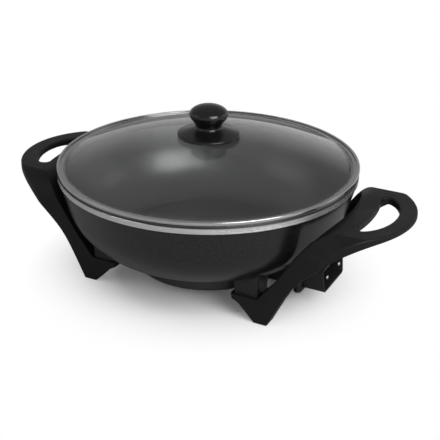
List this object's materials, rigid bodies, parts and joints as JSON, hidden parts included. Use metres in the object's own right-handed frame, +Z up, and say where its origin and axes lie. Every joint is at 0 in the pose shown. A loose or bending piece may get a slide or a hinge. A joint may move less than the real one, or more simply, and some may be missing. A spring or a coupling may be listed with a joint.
{
  "type": "electric wok",
  "caption": "Round electric wok with a domed glass lift-off lid, two loop handles that run down into its feet, and a socket for a plug-in thermostat.",
  "frame": {"origin": "on the floor, under the bowl's axis", "axes": "+Z up along the bowl's axis; +X through the handle that has the socket under it; +Y to the left of +X"},
  "size_m": [0.512, 0.36, 0.2162],
  "materials": {
    "bowl_casting": "satin dark grey coat outside, non-stick black inside, bare machined rim band",
    "lug_casting": "satin black coat",
    "raw_casting": "as cast",
    "cover_enamel": "satin black",
    "element_sheath": "oxidised",
    "ceramic": "unglazed",
    "plated_pin": "bright nickel",
    "sleeve_alloy": "drawn",
    "spring_steel": "rolled",
    "guard_plastic": "satin black",
    "zinc_screw": "zinc plated",
    "handle_phenolic": "moulded, fine satin black",
    "clear_glass": "polished",
    "polished_steel": "polished",
    "knob_phenolic": "semi-gloss black",
    "brass": "turned",
    "silicone": "translucent grey"
  },
  "bodies": {
    "wok": {"wok_bowl": "bowl_casting", "bowl_lugs": "lug_casting", "guard_posts": "lug_casting", "heater_pad": "raw_casting", "base_cover": "cover_enamel", "heating_element": "element_sheath", "terminal_bushes": "ceramic", "terminal_pins": "plated_pin", "probe_sleeve": "sleeve_alloy", "sleeve_clip": "spring_steel", "terminal_guard": "guard_plastic", "guard_screws": "zinc_screw", "earth_contact": "spring_steel", "cover_screw": "zinc_screw", "cover_washer": "zinc_screw", "right_handle": "handle_phenolic", "left_handle": "handle_phenolic", "leg_screws": "zinc_screw", "leg_washers": "zinc_screw"},
    "lid": {"lid_glass": "clear_glass", "lid_ring": "polished_steel", "lid_knob": "knob_phenolic", "knob_skirt": "knob_phenolic", "knob_insert": "brass", "upper_gasket": "silicone", "lower_gasket": "silicone", "knob_washer": "polished_steel", "knob_screw": "polished_steel"}
  },
  "joints": [
    {"name": "lid_lift", "type": "slide", "parent": "wok", "child": "lid", "axis": [0, 0, 1], "range_m": [0, 0.15]}
  ]
}
